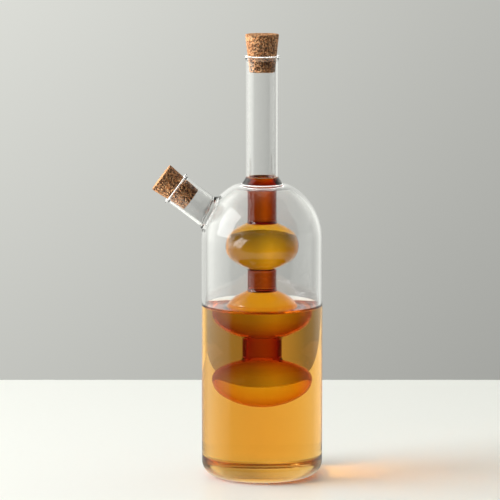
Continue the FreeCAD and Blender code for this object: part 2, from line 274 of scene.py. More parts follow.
class StageLook(bpy.types.PropertyGroup):
    """Table, room, lamp and camera."""

    camera_distance: length("Camera distance", "Level distance from the camera to the bottle's axis", 2000.0)
    camera_height: length("Camera height", "Height of the camera over the table", 425.0)
    camera_side: FloatProperty(
        name="Camera side", description="Camera's offset to the side", default=-0.00747, unit="LENGTH")
    camera_pitch: FloatProperty(
        name="Camera pitch", description="How far the camera looks down", default=math.radians(8.08),
        subtype="ANGLE")
    camera_lens: number("Camera lens", "Focal length in millimetres", 234.72)
    table_back: length("Table back", "Distance from the bottle's axis to the table's back edge", 327.0)
    table_front: length("Table front", "Distance from the bottle's axis to the table's front edge", 327.0)
    table_left: length("Table left", "Distance from the bottle's axis to the table's left edge", 700.0)
    table_right: length("Table right", "Distance from the bottle's axis to the table's right edge", 300.0)
    table_thickness: length("Table thickness", "Thickness of the table's top", 30.0)
    table_gap: length("Table gap", "Air between the table and the bottle's base", 0.1)
    table_edge: length("Table edge", "Rounding of the table's edges", 2.0)
    table_colour: colour("Table colour", "Pale table top", (0.88, 0.885, 0.855))
    table_roughness: number("Table roughness", "How matt the table top is", 0.38)
    table_shine: number("Table shine", "How strongly the table top mirrors", 0.4)
    room_colour: colour("Room colour", "Tint of the grey room", (0.990, 1.0, 0.940))
    room_left: number("Room left", "Brightness of the room's lit side", 0.765)
    room_right: number("Room right", "Brightness of the room's far side", 0.475)
    room_low: number("Room low", "Brightness of the wall's foot, against the rest", 0.50)
    room_middle: number("Room middle", "Brightness of the wall just over eye level, against the rest", 1.24)
    room_high: number("Room high", "Brightness of the wall's top, against the rest", 0.70)
    far_left: number("Far left", "Brightness of the wall beyond the lit side, against the rest", 0.5)
    above_level: number("Above", "Brightness of the wall overhead in bounced rays, against the rest", 0.35)
    softbox_seen: number("Softbox seen", "Brightness of the lit side, seen directly or through glass", 0.35)
    softbox_mirrored: number("Softbox mirrored", "Brightness of the lit side in mirrored rays", 1.6)
    softbox_scattered: number("Softbox scattered", "Brightness of the lit side in scattered rays", 7.0)
    side_seen: number("Pale side seen", "Brightness of the pale side on the right, seen through glass", 1.3)
    side_mirrored: number("Pale side mirrored", "Brightness of that side in mirrored and scattered rays", 0.4)
    trapped_level: number("Trapped", "Brightness of the room for light mirrored inside the glass", 0.9)
    ceiling_level: number("Ceiling", "Brightness of the ceiling in scattered rays", 0.40)
    floor_mirrored: number("Floor mirrored", "Brightness of the floor in mirrored rays", 0.75)
    front_level: number("Front level", "Brightness of the room behind the camera, against the wall's", 0.07)
    key_power: number("Key power", "Power of the large lamp on the left, in watts", 21.0)
    key_width: length("Key width", "Width of that lamp", 1050.0)
    key_height: length("Key height", "Height of that lamp", 1250.0)
    key_place: spot("Key place", "Middle of that lamp", (-1.4, -0.2, 0.8))
    key_target: spot("Key target", "Point that the lamp faces", (0.0, 0.0, 0.12))


def traced(corners):
    """Points along corners of (radius, height). A corner is followed by a straight run, or by an arc where it
    also gives the arc's radius and turn."""
    points = []
    for corner, following in zip(corners, corners[1:]):
        start = Vector(corner[:2])
        across = Vector(following[:2]) - start
        if len(corner) == 2:
            steps = max(1, math.ceil(across.length / RUN_STEP))
            points += [start + across * step / steps for step in range(steps)]
            continue
        radius, turn = corner[2:]
        half = math.asin(min(1.0, across.length / 2 / radius))
        left = Vector((-across.y, across.x)).normalized()
        centre = start + across / 2 + left * turn * radius * math.cos(half)
        steps = min(math.ceil(2 * half / ARC_STEP), math.ceil(2 * half * radius / LEAST_CHORD))
        steps = max(LEAST_ARC_STEPS, steps)
        for step in range(steps):
            angle = turn * 2 * half * step / steps
            points.append(centre + Matrix.Rotation(angle, 2) @ (start - centre))
    points.append(Vector(corners[-1][:2]))
    return points


def turned(points, steps, closed=False):
    """A bmesh turned about Z from points of (radius, height)."""
    shape = bmesh.new()
    verts = [shape.verts.new((point.x, 0.0, point.y)) for point in points]
    edges = [shape.edges.new(pair) for pair in zip(verts, verts[1:])]
    if closed:
        edges.append(shape.edges.new((verts[-1], verts[0])))
    bmesh.ops.spin(
        shape, geom=verts + edges, cent=(0, 0, 0), axis=(0, 0, 1), angle=2 * math.pi, steps=steps,
        use_merge=True)
    bmesh.ops.remove_doubles(shape, verts=shape.verts, dist=MERGE_DISTANCE)
    bmesh.ops.recalc_face_normals(shape, faces=shape.faces)
    return shape


def seated(shape, name, material, body, slot, *nodes):
    """Turn a bmesh into a piece that rides on a body, stands for CAD nodes and takes a material. The slot is
    not used.
    """
    mesh = bpy.data.meshes.new(name)
    shape.to_mesh(mesh)
    shape.free()
    mesh.shade_smooth()
    mesh.set_sharp_from_angle(angle=SHARP_ANGLE)
    mesh.materials.append(material)
    piece = bpy.data.objects.new(name, mesh)
    bpy.context.scene.collection.objects.link(piece)
    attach(piece, body)
    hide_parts(*nodes)
    return piece


# Node helpers

def place(tree, kind, inputs=None, **settings):
    """Add a node, set its options, and give each named input a value or a wire from another node."""
    made = tree.nodes.new(kind)
    for name, value in settings.items():
        setattr(made, name, value)
    for name, value in (inputs or {}).items():
        if isinstance(value, bpy.types.NodeSocket):
            tree.links.new(value, made.inputs[name])
        else:
            made.inputs[name].default_value = value
    return made


def opaque(rgb):
    """A colour with full alpha."""
    return (*rgb, 1.0)


def mixed(tree, share, first, second):
    """A colour between two others."""
    made = place(tree, "ShaderNodeMix", {0: share, 6: first, 7: second}, data_type="RGBA")
    return made.outputs[2]


def between(tree, share, first, second):
    """A value between two others."""
    return place(tree, "ShaderNodeMix", {0: share, 2: first, 3: second}).outputs[0]


def calculated(tree, operation, first, second):
    """The result of a sum on two values."""
    return place(tree, "ShaderNodeMath", {0: first, 1: second}, operation=operation).outputs["Value"]


def spread(tree, value, low, high, to_low, to_high, curve="LINEAR"):
    """A value moved from one range to another."""
    made = place(
        tree, "ShaderNodeMapRange",
        {"Value": value, "From Min": low, "From Max": high, "To Min": to_low, "To Max": to_high},
        interpolation_type=curve)
    return made.outputs["Result"]


def new_material(name):
    """A material with an empty node tree and an output."""
    material = bpy.data.materials.new(name)
    material.use_nodes = True
    material.node_tree.nodes.clear()
    output = place(material.node_tree, "ShaderNodeOutputMaterial")
    return material, material.node_tree, output


def give_skin(tree, output, inputs):
    """Give a material its shader."""
    shader = place(tree, "ShaderNodeBsdfPrincipled", inputs)
    tree.links.new(shader.outputs["BSDF"], output.inputs["Surface"])


def give_depth(tree, output, tint, density):
    """Let a material take light by its depth."""
    depth = place(tree, "ShaderNodeVolumeAbsorption", {"Color": opaque(tint), "Density": density})
    tree.links.new(depth.outputs["Volume"], output.inputs["Volume"])


def wetted(shape, level, liquid_index, touched):
    """Tell the faces that a test picks, up to a level, the index of the liquid that they meet."""
    bmesh.ops.bisect_plane(
        shape, geom=shape.verts[:] + shape.edges[:] + shape.faces[:], dist=MERGE_DISTANCE,
        plane_co=(0.0, 0.0, level), plane_no=(0.0, 0.0, 1.0))
    shape.normal_update()
    layer = shape.faces.layers.float.get("wet") or shape.faces.layers.float.new("wet")
    for face in shape.faces:
        centre = face.calc_center_median()
        if centre.z < level and touched(face.normal, centre):
            face[layer] = liquid_index - AIR_INDEX


def index_ratio(tree, index):
    """A face bends light by its own index against that of the air or the liquid that it meets."""
    wet = place(tree, "ShaderNodeAttribute", attribute_name="wet").outputs["Fac"]
    return calculated(tree, "DIVIDE", index, calculated(tree, "ADD", wet, AIR_INDEX))


def worked_glass_group():
    """Marks that the flame leaves on worked glass: faint draw ripples and a breath of haze."""
    name = "worked_glass"
    if name in bpy.data.node_groups:
        return bpy.data.node_groups[name]
    group = bpy.data.node_groups.new(name, "ShaderNodeTree")
    for socket, way in (
            ("Ripple Scale", "INPUT"), ("Haze", "INPUT"), ("Height", "OUTPUT"), ("Roughness", "OUTPUT")):
        group.interface.new_socket(socket, in_out=way, socket_type="NodeSocketFloat")
    given = place(group, "NodeGroupInput")
    result = place(group, "NodeGroupOutput")
    where = place(group, "ShaderNodeTexCoord").outputs["Object"]
    drawn = place(group, "ShaderNodeMapping", {"Vector": where, "Scale": DRAW_STRETCH}).outputs["Vector"]
    ripple = place(
        group, "ShaderNodeTexNoise", {"Vector": drawn, "Scale": given.outputs["Ripple Scale"], "Detail": 1.0})
    smear = place(group, "ShaderNodeTexNoise", {"Vector": where, "Scale": SMEAR_SCALE, "Detail": 3.0})
    haze = spread(group, smear.outputs["Fac"], *SMEAR_RANGE, 0.0, given.outputs["Haze"])
    group.links.new(ripple.outputs["Fac"], result.inputs["Height"])
    group.links.new(haze, result.inputs["Roughness"])
    return group


def flame_marks(tree, ripple_scale):
    """The marks of worked glass in one material."""
    return place(
        tree, "ShaderNodeGroup", {"Ripple Scale": ripple_scale, "Haze": HAZE}, node_tree=worked_glass_group())


def glass_material(name, index, tint, density, ripple_scale, ripple_depth):
    """Worked glass that takes light by its depth."""
    material, tree, output = new_material(name)
    marks = flame_marks(tree, ripple_scale)
    bump = place(
        tree, "ShaderNodeBump",
        {"Height": marks.outputs["Height"], "Distance": ripple_depth, "Strength": 1.0})
    give_skin(tree, output, {
        "Base Color": WHITE, "Roughness": marks.outputs["Roughness"], "IOR": index_ratio(tree, index),
        "Transmission Weight": 1.0, "Normal": bump.outputs["Normal"]})
    give_depth(tree, output, tint, density)
    return material


def liquid_material(name, index, tint, density):
    """A clear liquid that takes light by its depth."""
    material, tree, output = new_material(name)
    give_skin(tree, output, {
        "Base Color": WHITE, "Roughness": 0.0, "IOR": index_ratio(tree, index), "Transmission Weight": 1.0})
    give_depth(tree, output, tint, density)
    return material


def rim_material(look):
    """Fire-polished rims that look white because their emission paints a highlight on them."""
    material, tree, output = new_material("glowing_rim_painted_highlight")
    marks = flame_marks(tree, look.clear_ripple)
    # The emission paints the rims' white highlight; the rims are no lamp.
    give_skin(tree, output, {
        "Base Color": WHITE, "Roughness": marks.outputs["Roughness"], "IOR": look.clear_index,
        "Transmission Weight": look.rim_clearness, "Emission Color": opaque(look.painted_rim_colour),
        "Emission Strength": look.painted_rim_glow})
    return material


def cork_material(look):
    """Pressed cork granules in several browns, with dark seams and pits."""
    material, tree, output = new_material("pressed_cork")
    where = place(tree, "ShaderNodeTexCoord").outputs["Object"]
    granules = place(tree, "ShaderNodeTexVoronoi", {"Vector": where, "Scale": 1.0 / look.granule})
    shade = place(tree, "ShaderNodeSeparateColor", {"Color": granules.outputs["Color"]})
    crumbs = place(
        tree, "ShaderNodeTexNoise", {"Vector": where, "Scale": CRUMB_SCALE / look.granule, "Detail": 4.0})
    grain = place(
        tree, "ShaderNodeTexNoise", {"Vector": where, "Scale": GRAIN_SCALE / look.granule, "Detail": 3.0})
    pits = place(tree, "ShaderNodeAttribute", attribute_name="pit").outputs["Fac"]
    pale = spread(tree, shade.outputs["Red"], *PALE_RANGE, 0.0, 1.0)
    tone = mixed(tree, pale, opaque(look.tan), opaque(look.pale))
    for pattern, stretch, share in (
            (shade.outputs["Green"], DARK_RANGE, DARK_SHARE),
            (crumbs.outputs["Fac"], CRUMB_RANGE, CRUMB_SHARE),
            (grain.outputs["Fac"], GRAIN_RANGE, GRAIN_SHARE)):
        tone = mixed(tree, spread(tree, pattern, *stretch, 0.0, share), tone, opaque(look.brown))
    bump = place(
        tree, "ShaderNodeBump",
        {"Height": grain.outputs["Fac"], "Distance": GRAIN_DEPTH, "Strength": GRAIN_STRENGTH})
    give_skin(tree, output, {
        "Base Color": mixed(tree, pits, tone, opaque(look.pit)),
        "Roughness": spread(tree, crumbs.outputs["Fac"], *MATT_RANGE, *CORK_ROUGHNESS),
        "Specular IOR Level": CORK_SHINE, "Normal": bump.outputs["Normal"]})
    return material


# Outlines that several pieces share

def dome_end(glass, dome_radius, corner_radius):
    """Where the dome runs into the rounded edge of the crown."""
    flat = COLLAR_HIGH.x + glass.crown_margin
    rise = BOTTLE_HIGH.z - glass.crown_corner - glass.shoulder
    share = dome_radius / (dome_radius - corner_radius)
    return flat * share, glass.shoulder + rise * share


def chamber_corners(glass, spare=0.0):
    """The bottle's inside from its floor up to its shoulder, moved into the glass by a spare length."""
    radius = BOTTLE_HIGH.x - glass.wall + spare
    corner = glass.inner_corner + spare
    floor = glass.base - spare
    return [
        (0.0, floor),
        (radius - corner, floor, corner, LEFT),
        (radius, floor + corner),
        (radius, glass.shoulder),
    ]


def vessel_corners(amber, inset, neck_radius, offset=0.0):
    """The three bulbs from the closed bottom up to the top neck, moved in by an inset. An offset moves the
    lowest bulb down and the others up."""
    edge_middle = VESSEL_HIGH.x - amber.bulb_edge
    half = amber.bulb_height / 2
    outer_cap = (edge_middle ** 2 + half ** 2 - amber.bulb_edge ** 2) / (2 * (half - amber.bulb_edge))
    drop = outer_cap - half
    edge = amber.bulb_edge - inset
    cap = outer_cap - inset
    share = cap / (cap - edge)
    edge_r, edge_z = edge_middle * share, drop * share - drop
    blend = amber.bulb_blend
    blend_r = neck_radius + blend
    blend_z = math.sqrt((cap + blend) ** 2 - blend_r ** 2)
    share = cap / (cap + blend)
    cap_r, cap_z = blend_r * share, blend_z * share - drop
    neck_z = blend_z - drop
    lowest = BOTTLE_HIGH.z - amber.bulb_drop - amber.bulb_pitch * (BULBS - 1)
    corners = [(0.0, lowest - offset - half + inset, cap, LEFT)]
    for count in range(BULBS):
        middle = lowest + amber.bulb_pitch * count + (offset if count > 0 else -offset)
        if count > 0:
            corners.append((neck_radius, middle - neck_z, blend, RIGHT))
            corners.append((cap_r, middle - cap_z, cap, LEFT))
        corners.append((edge_r, middle - edge_z, edge, LEFT))
        corners.append((edge_r, middle + edge_z, cap, LEFT))
        corners.append((cap_r, middle + cap_z, blend, RIGHT))
        corners.append((neck_radius, middle + neck_z))
    return corners


def faces_axis(normal, centre):
    """Whether a face is on the inside of a turned wall."""
    return normal.dot(Vector((centre.x, centre.y, -MERGE_DISTANCE))) < 0


def below(points, height):
    """The first stretch of points that stays under a height, cut off level there."""
    kept = [points[0]]
    for start, end in zip(points, points[1:]):
        if end.y >= height:
            share = (height - start.y) / (end.y - start.y)
            return kept + [start + (end - start) * share]
        kept.append(end)
    return kept


def bend_radius(away, run):
    """Radius of the arc that starts along a line and is away from it by a length after a run."""
    return (away ** 2 + run ** 2) / (2 * away)


def lip_corners(radius, wall, end, flare, lip_length):
    """A tube's flared and beaded end, from its outer wall over the bead to its inner wall."""
    bead = wall / 2
    bend = bend_radius(flare, lip_length - bead)
    return [
        (radius, end - lip_length, bend, RIGHT),
        (radius + flare, end - bead, bead, LEFT),
        (radius + flare - bead, end, bead, LEFT),
        (radius + flare - wall, end - bead, bend, LEFT),
        (radius - wall, end - lip_length),
    ]


# Spout

class SpoutFrame:
    """Places a point by its distance along the spout's axis, its radius from it and its angle round it."""

    def __init__(self, glass):
        self.root = Vector((0.0, 0.0, glass.spout_root))
        self.side = Vector((0.0, 1.0, 0.0))
        self.up = SPOUT_AXIS.cross(self.side)
        self.centre = Vector((0.0, 0.0, glass.shoulder))

    def measure(self, point):
        """A point's distance along the axis, its radius and its angle."""
        offset = point - self.root
        along = offset.dot(SPOUT_AXIS)
        across = offset - SPOUT_AXIS * along
        return along, across.length, math.atan2(across.dot(self.up), across.dot(self.side))

    def point(self, along, radius, angle):
        """The point at that distance, radius and angle."""
        across = self.side * math.cos(angle) + self.up * math.sin(angle)
        return self.root + SPOUT_AXIS * along + across * radius

    def on_dome(self, dome_radius, radius, angle):
        """How far along the axis a line at that radius and angle meets a dome."""
        offset = self.point(0.0, radius, angle) - self.centre
        along = offset.dot(SPOUT_AXIS)
        return -along + math.sqrt(along ** 2 - offset.length_squared + dome_radius ** 2)


def curve_points(first, control, last, steps):
    """Points on a quadratic curve, without its first one."""
    made = []
    for step in range(1, steps + 1):
        share = step / steps
        made.append(
            first * (1 - share) ** 2 + control * 2 * share * (1 - share) + last * share ** 2)
    return made


def spout_section(spout, glass, angle):
    """The spout's wall at one angle as (radius, distance) points: weld, tube, lip, bore and inner edge."""
    outer_dome = BOTTLE_HIGH.x
    inner_dome = outer_dome - glass.wall
    radius = glass.spout_radius
    bore = radius - glass.spout_wall
    waves = sum(height * math.sin(count * angle + start) for count, start, height in WELD_WAVES)
    weld = glass.weld * (1 + waves)
    foot = radius + weld
    mouth = bore + glass.bore_round
    start = Vector((foot, spout.on_dome(outer_dome, foot, angle)))
    corner = Vector((radius, spout.on_dome(outer_dome, radius, angle)))
    top = corner + Vector((0.0, weld))
    swell = corner + (start + top - 2 * corner) * WELD_SWELL
    section = [start] + curve_points(start, swell, top, WELD_STEPS)
    lip = lip_corners(
        radius, glass.spout_wall, glass.spout_reach, glass.spout_flare, glass.spout_lip_length)
    section += traced(lip)
    corner = Vector((bore, spout.on_dome(inner_dome, bore, angle)))
    end = Vector((mouth, spout.on_dome(inner_dome, mouth, angle)))
    upper = corner + Vector((0.0, glass.bore_round))
    return section + [upper] + curve_points(upper, corner, end, BORE_STEPS)


def open_loop(shape, spout, near_radius, dome_radius):
    """Take the faces round the spout's axis out of one dome and give the edges of the hole."""
    def touches(vert):
        return abs((vert.co - spout.centre).length - dome_radius) < ON_DOME

    gone = []
    for face in shape.faces:
        if not all(touches(vert) and vert.co.z > spout.centre.z for vert in face.verts):
            continue
        places = [spout.measure(vert.co) for vert in face.verts]
        if all(along > 0 and radius < near_radius for along, radius, angle in places):
            gone.append(face)
    bmesh.ops.delete(shape, geom=gone, context="FACES")
    return [edge for edge in shape.edges if edge.is_boundary and all(touches(vert) for vert in edge.verts)]


def add_spout(shape, glass):
    """Open both domes and draw the spout out of the outer one, over its lip and back to the inner one."""
    spout = SpoutFrame(glass)
    cut = glass.spout_radius + glass.weld + CUT_MARGIN
    outer = open_loop(shape, spout, cut, BOTTLE_HIGH.x)
    inner = open_loop(shape, spout, cut, BOTTLE_HIGH.x - glass.wall)
    halves = bmesh.ops.subdivide_edges(shape, edges=outer, cuts=1)["geom_inner"]
    middles = [item for item in halves if isinstance(item, bmesh.types.BMVert)]
    outer = [edge for vert in middles for edge in vert.link_edges if edge.is_boundary]
    count = len({vert for edge in outer for vert in edge.verts})
    first_angle = min(spout.measure(vert.co)[2] for edge in outer for vert in edge.verts)
    angles = [first_angle + 2 * math.pi * index / count for index in range(count)]
    sections = [spout_section(spout, glass, angle) for angle in angles]
    edges = outer
    for ring in range(len(sections[0])):
        grown = bmesh.ops.extrude_edge_only(shape, edges=edges)["geom"]
        edges = [item for item in grown if isinstance(item, bmesh.types.BMEdge) and item.is_boundary]
        verts = list({vert for edge in edges for vert in edge.verts})
        verts.sort(key=lambda vert: spout.measure(vert.co)[2])
        for vert, angle, section in zip(verts, angles, sections):
            radius, along = section[ring]
            vert.co = spout.point(along, radius, angle)
    bmesh.ops.bridge_loops(shape, edges=edges + inner)
    bmesh.ops.recalc_face_normals(shape, faces=shape.faces)


def to_spout(glass):
    """The turn and shift that put a piece made on Z onto the spout's axis."""
    lean = Vector((0.0, 0.0, 1.0)).rotation_difference(SPOUT_AXIS)
    return Matrix.Translation((0.0, 0.0, glass.spout_root)) @ lean.to_matrix().to_4x4()


class CRUET_OT_blow_bottle(bpy.types.Operator):
    """Blow the clear bottle and draw its spout out of the dome"""

    bl_idname = "cruet.blow_bottle"
    bl_label = "Blow the bottle"

    def execute(self, context):
        glass = context.scene.cruet_clear
        look = context.scene.cruet_glass
        radius = BOTTLE_HIGH.x
        crown = BOTTLE_HIGH.z
        flat = COLLAR_HIGH.x + glass.crown_margin
        hole = COLLAR_HIGH.x - glass.seal_overlap
        outside = [
            (0.0, glass.hollow, bend_radius(glass.hollow, glass.foot), RIGHT),
            (glass.foot, 0.0),
            (radius - glass.base_corner, 0.0, glass.base_corner, LEFT),
            (radius, glass.base_corner),
            (radius, glass.shoulder, radius, LEFT),
            (*dome_end(glass, radius, glass.crown_corner), glass.crown_corner, LEFT),
            (flat, crown, glass.seal_bead, LEFT),
            (flat - 2 * glass.seal_bead, crown),
            (hole, crown),
            (hole, crown - glass.wall),
        ]
        inner_corner = glass.crown_corner - glass.wall
        inside = chamber_corners(glass)[:-1] + [
            (radius - glass.wall, glass.shoulder, radius - glass.wall, LEFT),
            (*dome_end(glass, radius - glass.wall, inner_corner), inner_corner, LEFT),
            (flat, crown - glass.wall),
        ]
        shape = turned(traced(outside) + traced(inside)[::-1], glass.turns)
        add_spout(shape, glass)
        liquid = context.scene.cruet_liquid
        middle = Vector((0.0, 0.0, OIL_HIGH.z / 2))
        wetted(
            shape, OIL_HIGH.z, liquid.oil_index,
            lambda normal, centre: normal.dot(centre - middle) < 0)
        material = glass_material(
            "blown_clear_glass", look.clear_index, look.clear_colour, look.clear_density,
            look.clear_ripple, look.clear_ripple_depth)
        seated(shape, "bottle_glass", material, "bottle", "clear_glass", "outer_bottle", "pouring_spout")
        return {"FINISHED"}


class CRUET_OT_draw_neck(bpy.types.Operator):
    """Draw the neck tube with its flared lip"""

    bl_idname = "cruet.draw_neck"
    bl_label = "Draw the neck"

    def execute(self, context):
        glass = context.scene.cruet_clear
        radius = NECK_HIGH.x - glass.lip_flare
        lip = lip_corners(radius, glass.neck_wall, NECK_HIGH.z, glass.lip_flare, glass.lip_length)
        foot = (radius - glass.neck_wall, NECK_LOW.z)
        corners = [foot, (radius, NECK_LOW.z), *lip, foot]
        shape = turned(traced(corners)[:-1], glass.turns // 2, closed=True)
        material = bpy.data.materials["blown_clear_glass"]
        seated(shape, "neck_glass", material, "bottle", "clear_glass", "neck_tube")
        return {"FINISHED"}


class CRUET_OT_polish_rims(bpy.types.Operator):
    """Melt the rims on both lips and round the ring seal, which glow white as a painted highlight"""

    bl_idname = "cruet.polish_rims"
    bl_label = "Polish the glowing rims"

    def execute(self, context):
        glass = context.scene.cruet_clear
        material = rim_material(context.scene.cruet_glass)
        rim = glass.rim
        upright = Matrix()
        spout_lip = glass.spout_radius + glass.spout_flare - glass.spout_wall / 2
        # Thin rings whose emission paints a white highlight line on each lip and round the ring seal.
        rings = (
            ("neck_rim", NECK_HIGH.x - glass.neck_wall / 2, NECK_HIGH.z - rim, upright),
            ("spout_rim", spout_lip, glass.spout_reach - rim, to_spout(glass)),
            ("seal_rim", COLLAR_HIGH.x + rim, BOTTLE_HIGH.z + rim, upright),
        )
        for name, radius, height, lean in rings:
            outline = traced([
                (radius + rim, height, rim, LEFT), (radius - rim, height, rim, LEFT), (radius + rim, height)])
            shape = turned(outline[:-1], glass.turns // 2, closed=True)
            bmesh.ops.transform(shape, matrix=lean, verts=shape.verts)
            seated(shape, name, material, "bottle", "clear_glass")
        return {"FINISHED"}


class CRUET_OT_blow_vessel(bpy.types.Operator):
    """Blow the amber three-bulb vessel with the ring seal that holds it"""

    bl_idname = "cruet.blow_vessel"
    bl_label = "Blow the amber vessel"

    def execute(self, context):
        glass = context.scene.cruet_clear
        amber = context.scene.cruet_amber
        look = context.scene.cruet_glass
        liquid = context.scene.cruet_liquid
        spare = liquid.overlap
        crown = BOTTLE_HIGH.z
        ceiling = crown - glass.wall
        hole = COLLAR_HIGH.x - glass.seal_overlap
        neck = NECK_HIGH.x - glass.lip_flare
        neck_bore = neck - glass.neck_wall
        bore = amber.neck_radius - amber.neck_wall
        top = COLLAR_HIGH.z
        outside = vessel_corners(amber, 0.0, amber.neck_radius) + [
            (amber.neck_radius, ceiling - amber.seal_fillet, amber.seal_fillet, RIGHT),
            (amber.neck_radius + amber.seal_fillet, ceiling),
            (hole + spare, ceiling + spare),
            (hole + spare, crown - spare),
            (COLLAR_HIGH.x, crown - spare),
            (COLLAR_HIGH.x, crown + amber.seal_rim),
            (neck, top),
            (neck - spare, top + spare),
            (neck_bore + spare, top + spare),
            (neck_bore, top),
        ]
        inside = vessel_corners(amber, amber.bulb_wall, bore, amber.thin_side) + [(bore, crown)]
        shape = turned(traced(outside) + traced(inside)[::-1], amber.turns)
        wetted(
            shape, OIL_HIGH.z, liquid.oil_index,
            lambda normal, centre: not faces_axis(normal, centre))
        wetted(shape, VINEGAR_HIGH.z + liquid.vinegar_climb, liquid.vinegar_index, faces_axis)
        material = glass_material(
            "blown_amber_glass", look.amber_index, look.amber_colour, look.amber_density,
            look.amber_ripple, look.amber_ripple_depth)
        seated(shape, "amber_vessel", material, "bottle", "amber_glass", "inner_vessel", "seal_collar")
        return {"FINISHED"}


def climbing(outer, inner, level, climb, width):
    """A liquid's surface from an outer radius to an inner one, climbing at both walls, where its facets are
    finest. An inner radius of 0 is the axis, where there is no wall."""
    made = []
    for step in range(SURFACE_STEPS + 1):
        share = (1 - math.cos(math.pi * step / SURFACE_STEPS)) / 2
        radius = outer + (inner - outer) * share
        height = climb * math.exp(-abs(outer - radius) / width)
        if inner > 0:
            height += climb * math.exp(-abs(radius - inner) / width)
        made.append(Vector((radius, level + height)))
    return made


class CRUET_OT_pour_oil(bpy.types.Operator):
    """Fill the outer chamber with oil up to its level"""

    bl_idname = "cruet.pour_oil"
    bl_label = "Pour the oil"

    def execute(self, context):
        glass = context.scene.cruet_clear
        amber = context.scene.cruet_amber
        liquid = context.scene.cruet_liquid
        spare = liquid.overlap
        wall = BOTTLE_HIGH.x - glass.wall
        edge = OIL_HIGH.z
        chamber = below(traced(chamber_corners(glass, spare)), edge)
        vessel = below(traced(vessel_corners(amber, spare, amber.neck_radius - spare)), edge)
        level = edge - liquid.oil_climb
        surface = climbing(wall, vessel[-1].x, level, liquid.oil_climb, liquid.climb_width)
        shape = turned(chamber + surface + vessel[::-1][1:], glass.turns)
        wetted(
            shape, edge + spare, liquid.oil_index,
            lambda normal, centre: normal.z < FREE_SURFACE or centre.z < level)
        material = liquid_material("golden_oil", liquid.oil_index, liquid.oil_colour, liquid.oil_density)
        seated(shape, "oil", material, "bottle", "oil", "oil_fill")
        return {"FINISHED"}


class CRUET_OT_pour_vinegar(bpy.types.Operator):
    """Fill the amber vessel with vinegar up to the ring seal"""

    bl_idname = "cruet.pour_vinegar"
    bl_label = "Pour the vinegar"

    def execute(self, context):
        glass = context.scene.cruet_clear
        amber = context.scene.cruet_amber
        liquid = context.scene.cruet_liquid
        spare = liquid.overlap
        bore = amber.neck_radius - amber.neck_wall
        neck_bore = NECK_HIGH.x - glass.lip_flare - glass.neck_wall
        corners = vessel_corners(amber, amber.bulb_wall - spare, bore + spare, amber.thin_side)
        corners += [(bore + spare, BOTTLE_HIGH.z), (neck_bore + spare, COLLAR_HIGH.z)]
        edge = VINEGAR_HIGH.z + liquid.vinegar_climb
        vessel = below(traced(corners), edge)
        surface = climbing(vessel[-1].x, 0.0, VINEGAR_HIGH.z, liquid.vinegar_climb, liquid.climb_width)
        shape = turned(vessel + surface[1:], amber.turns)
        wetted(
            shape, edge + spare, liquid.vinegar_index,
            lambda normal, centre: normal.z < FREE_SURFACE or centre.z < VINEGAR_HIGH.z)
        material = liquid_material(
            "pale_vinegar", liquid.vinegar_index, liquid.vinegar_colour, liquid.vinegar_density)
        seated(shape, "vinegar", material, "bottle", "vinegar", "vinegar_fill")
        return {"FINISHED"}


def finely(points, step):
    """The same line with points no further apart than a step."""
    made = []
    for start, end in zip(points, points[1:]):
        count = max(1, math.ceil((end - start).length / step))
        made += [start + (end - start) * part / count for part in range(count)]
    return made + [points[-1]]


def crumble(shape, look):
    """Press the seams between granules, and the pits where granules fell out, into a cork's skin."""
    layer = shape.verts.layers.float.new("pit")
    shape.normal_update()
    moves = []
    for vert in shape.verts:
        near, spots = noise.voronoi(vert.co / look.granule)
        from_seam = near[1] - near[0]
        seam = max(0.0, 1.0 - from_seam / SEAM_WIDTH)
        lost = 1.0 if noise.cell(spots[0] * LOT_STRIDE) < look.pit_share else 0.0
        hollow = lost * min(1.0, max(0.0, from_seam / PIT_EDGE))
        rough = 0.5 + 0.5 * noise.noise(vert.co / SKIN_SIZE)
        vert[layer] = min(1.0, SEAM_SHADE * seam * rough + hollow)
        depth = look.seam_depth * seam * rough + look.pit_depth * hollow + SKIN_DEPTH * rough
        moves.append((vert, vert.normal * depth))
    for vert, move in moves:
        vert.co -= move


def cork_shape(tip, top, tip_radius, top_radius, look):
    """A tapered cork on Z, before its skin is crumbled."""
    corners = [
        (0.0, tip),
        (tip_radius - look.edge, tip, look.edge, LEFT),
        (tip_radius, tip + look.edge),
        (top_radius, top - look.edge, look.edge, LEFT),
        (top_radius - look.edge, top),
        (0.0, top),
    ]
    steps = math.ceil(2 * math.pi * top_radius / look.facet)
    return turned(finely(traced(corners), look.facet), steps)


class CRUET_OT_cut_corks(bpy.types.Operator):
    """Cut the two tapered corks"""

    bl_idname = "cruet.cut_corks"
    bl_label = "Cut the corks"

    def execute(self, context):
        glass = context.scene.cruet_clear
        look = context.scene.cruet_cork
        material = cork_material(look)
        shape = cork_shape(NECK_CORK_LOW.z, NECK_CORK_HIGH.z, look.neck_tip_radius, NECK_CORK_HIGH.x, look)
        crumble(shape, look)
        seated(shape, "neck_stopper_cork", material, "neck_stopper", "cork", "neck_cork")
        top = look.spout_tip + look.spout_length
        shape = cork_shape(look.spout_tip, top, look.spout_tip_radius, SPOUT_CORK_HIGH.y, look)
        bmesh.ops.transform(shape, matrix=to_spout(glass), verts=shape.verts)
        crumble(shape, look)
        seated(shape, "spout_stopper_cork", material, "spout_stopper", "cork", "spout_cork")
        return {"FINISHED"}


# Stage

def table_material(stage):
    """A pale, faintly polished table top."""
    material, tree, output = new_material("table_top")
    where = place(tree, "ShaderNodeTexCoord").outputs["Object"]
    speckle = place(tree, "ShaderNodeTexNoise", {"Vector": where, "Scale": TABLE_SPECKLE, "Detail": 2.0})
    shade = [TABLE_SHADE * part for part in stage.table_colour]
    tone = mixed(tree, speckle.outputs["Fac"], opaque(shade), opaque(stage.table_colour))
    give_skin(tree, output, {
        "Base Color": tone, "Roughness": stage.table_roughness, "Specular IOR Level": stage.table_shine})
    return material


